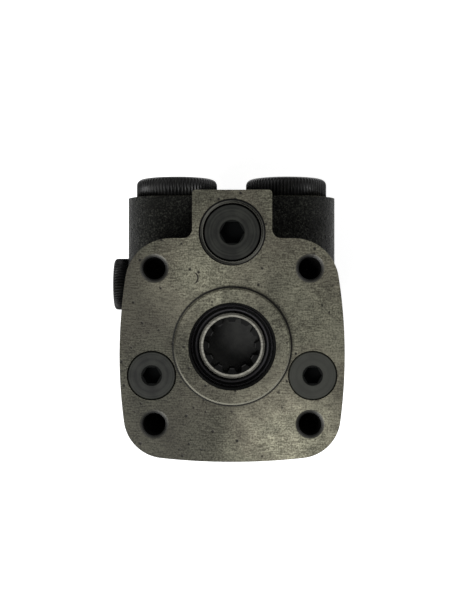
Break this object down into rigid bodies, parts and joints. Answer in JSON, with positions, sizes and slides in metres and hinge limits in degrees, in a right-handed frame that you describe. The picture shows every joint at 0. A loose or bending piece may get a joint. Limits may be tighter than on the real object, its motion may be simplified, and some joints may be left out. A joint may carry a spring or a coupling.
{
  "type": "orbital steering unit",
  "caption": "Hydraulic orbital steering unit: cast housing with square mounting flange, splined input, capped line ports and a gear set under a bolted end cover.",
  "frame": {"origin": "centre of the four column bolt holes, on the input axis, in the plane of the machined mounting face", "axes": "+Z out of the mounting face along the input axis, +Y the way the four line ports open, +X to the right with +Z towards the viewer and +Y up"},
  "size_m": [0.0906, 0.11, 0.1476],
  "materials": {
    "cast_body": "cast sides painted black, mounting face, spigot and port face machined bare",
    "black_rubber": "smooth black rubber",
    "seal_plastic": "bronze-filled seal plastic",
    "bearing_steel": "polished",
    "cage_steel": "satin",
    "valve_steel": "ground",
    "spring_steel": "oiled",
    "dark_steel": "hardened, dark",
    "gear_steel": "ground",
    "cover_iron": "painted black, turned rim",
    "plug_steel": "phosphated dark grey",
    "valve_part_steel": "turned",
    "washer_steel": "zinc, dull",
    "screw_steel": "blackened",
    "cap_plastic": "black moulded plastic"
  },
  "bodies": {
    "housing_group": {"housing": "cast_body", "mounting_flange": "cast_body", "dust_seal": "black_rubber", "shaft_seal_ring": "seal_plastic", "shaft_o_ring": "black_rubber", "bearing_outer_race": "bearing_steel", "gear_ring": "gear_steel", "distributor_plate": "gear_steel", "end_cover": "cover_iron", "housing_o_ring": "black_rubber", "plate_o_ring": "black_rubber", "ring_o_ring": "black_rubber", "cover_screw_1": "screw_steel", "cover_screw_2": "screw_steel", "cover_screw_3": "screw_steel", "cover_screw_4": "screw_steel", "cover_screw_5": "screw_steel", "cover_screw_6": "screw_steel", "cover_screw_7": "screw_steel", "cover_washers": "washer_steel", "check_bushing": "valve_part_steel", "suction_pin_a": "valve_part_steel", "suction_pin_b": "valve_part_steel", "relief_plug": "plug_steel", "relief_washer": "washer_steel", "relief_spring": "spring_steel", "relief_seat": "valve_part_steel", "shock_plug_left": "plug_steel", "shock_o_ring_left": "black_rubber", "shock_spring_left": "spring_steel", "shock_seat_left": "valve_part_steel", "shock_plug_right": "plug_steel", "shock_o_ring_right": "black_rubber", "shock_spring_right": "spring_steel", "shock_seat_right": "valve_part_steel"},
    "sleeve_group": {"sleeve": "valve_steel", "cross_pin": "valve_steel", "spring_ring": "valve_steel", "bearing_inner_race": "bearing_steel", "centering_springs": "spring_steel"},
    "spool_body": {"spool": "valve_steel"},
    "cage_body": {"needle_cage": "cage_steel", "bearing_needles": "bearing_steel"},
    "spacer_body": {"spacer": "dark_steel"},
    "star_body": {"star": "gear_steel"},
    "cardan_body": {"cardan_shaft": "dark_steel"},
    "relief_poppet_body": {"relief_poppet": "valve_part_steel"},
    "shock_ball_left_body": {"shock_ball_left": "bearing_steel"},
    "shock_ball_right_body": {"shock_ball_right": "bearing_steel"},
    "check_ball_body": {"check_ball": "bearing_steel"},
    "suction_ball_a_body": {"suction_ball_a": "bearing_steel"},
    "suction_ball_b_body": {"suction_ball_b": "bearing_steel"},
    "cap_p_body": {"port_cap_p": "cap_plastic"},
    "cap_t_body": {"port_cap_t": "cap_plastic"},
    "cap_l_body": {"port_cap_l": "cap_plastic"},
    "cap_r_body": {"port_cap_r": "cap_plastic"},
    "cap_sense_body": {"port_cap_sense": "cap_plastic"}
  },
  "joints": [
    {"name": "sleeve_turn", "type": "hinge", "parent": "housing_group", "child": "sleeve_group", "pos_m": [0, 0, -0.044], "axis": [0, 0, 1], "continuous": true},
    {"name": "spool_offset", "type": "hinge", "parent": "sleeve_group", "child": "spool_body", "pos_m": [0, 0, -0.044], "axis": [0, 0, 1], "range_deg": [-8.5, 8.5], "stiffness_Nm_per_rad": 8, "deforming": ["centering_springs"]},
    {"name": "bearing_cage_turn", "type": "hinge", "parent": "housing_group", "child": "cage_body", "pos_m": [0, 0, -0.0233], "axis": [0, 0, 1], "continuous": true},
    {"name": "star_orbit", "type": "hinge", "parent": "housing_group", "child": "spacer_body", "pos_m": [0, 0, -0.1134], "axis": [0, 0, 1], "continuous": true},
    {"name": "star_spin", "type": "hinge", "parent": "spacer_body", "child": "star_body", "pos_m": [0.00336, 0, -0.1134], "axis": [0, 0, 1], "continuous": true},
    {"name": "cardan_spin", "type": "hinge", "parent": "spacer_body", "child": "cardan_body", "pos_m": [0, 0, -0.044], "axis": [-0.0484, 0, 0.9988], "continuous": true},
    {"name": "relief_poppet_lift", "type": "slide", "parent": "housing_group", "child": "relief_poppet_body", "axis": [0, 0, 1], "range_m": [0, 0.0015], "stiffness_N_per_m": 2000, "springref_m": -0.005, "deforming": ["relief_spring"]},
    {"name": "shock_left_lift", "type": "slide", "parent": "housing_group", "child": "shock_ball_left_body", "axis": [0, 0, 1], "range_m": [0, 0.0012], "stiffness_N_per_m": 1500, "springref_m": -0.005, "deforming": ["shock_spring_left"]},
    {"name": "shock_right_lift", "type": "slide", "parent": "housing_group", "child": "shock_ball_right_body", "axis": [0, 0, 1], "range_m": [0, 0.0012], "stiffness_N_per_m": 1500, "springref_m": -0.005, "deforming": ["shock_spring_right"]},
    {"name": "check_ball_lift", "type": "slide", "parent": "housing_group", "child": "check_ball_body", "axis": [0, 0, 1], "range_m": [0, 0.0022]},
    {"name": "suction_ball_a_lift", "type": "slide", "parent": "housing_group", "child": "suction_ball_a_body", "axis": [0, 0, 1], "range_m": [0, 0.0028]},
    {"name": "suction_ball_b_lift", "type": "slide", "parent": "housing_group", "child": "suction_ball_b_body", "axis": [0, 0, 1], "range_m": [0, 0.0028]},
    {"name": "cap_p_pull", "type": "slide", "parent": "housing_group", "child": "cap_p_body", "axis": [0, 1, 0], "range_m": [0, 0.02]},
    {"name": "cap_t_pull", "type": "slide", "parent": "housing_group", "child": "cap_t_body", "axis": [0, 1, 0], "range_m": [0, 0.02]},
    {"name": "cap_l_pull", "type": "slide", "parent": "housing_group", "child": "cap_l_body", "axis": [0, 1, 0], "range_m": [0, 0.02]},
    {"name": "cap_r_pull", "type": "slide", "parent": "housing_group", "child": "cap_r_body", "axis": [0, 1, 0], "range_m": [0, 0.02]},
    {"name": "cap_sense_pull", "type": "slide", "parent": "housing_group", "child": "cap_sense_body", "axis": [-1, 0, 0], "range_m": [0, 0.015]}
  ],
  "couplings": [
    {"joint": "star_orbit", "follows": "sleeve_turn", "ratio": -6},
    {"joint": "star_spin", "follows": "sleeve_turn", "ratio": 7},
    {"joint": "cardan_spin", "follows": "sleeve_turn", "ratio": 7},
    {"joint": "bearing_cage_turn", "follows": "sleeve_turn", "ratio": 0.5}
  ]
}
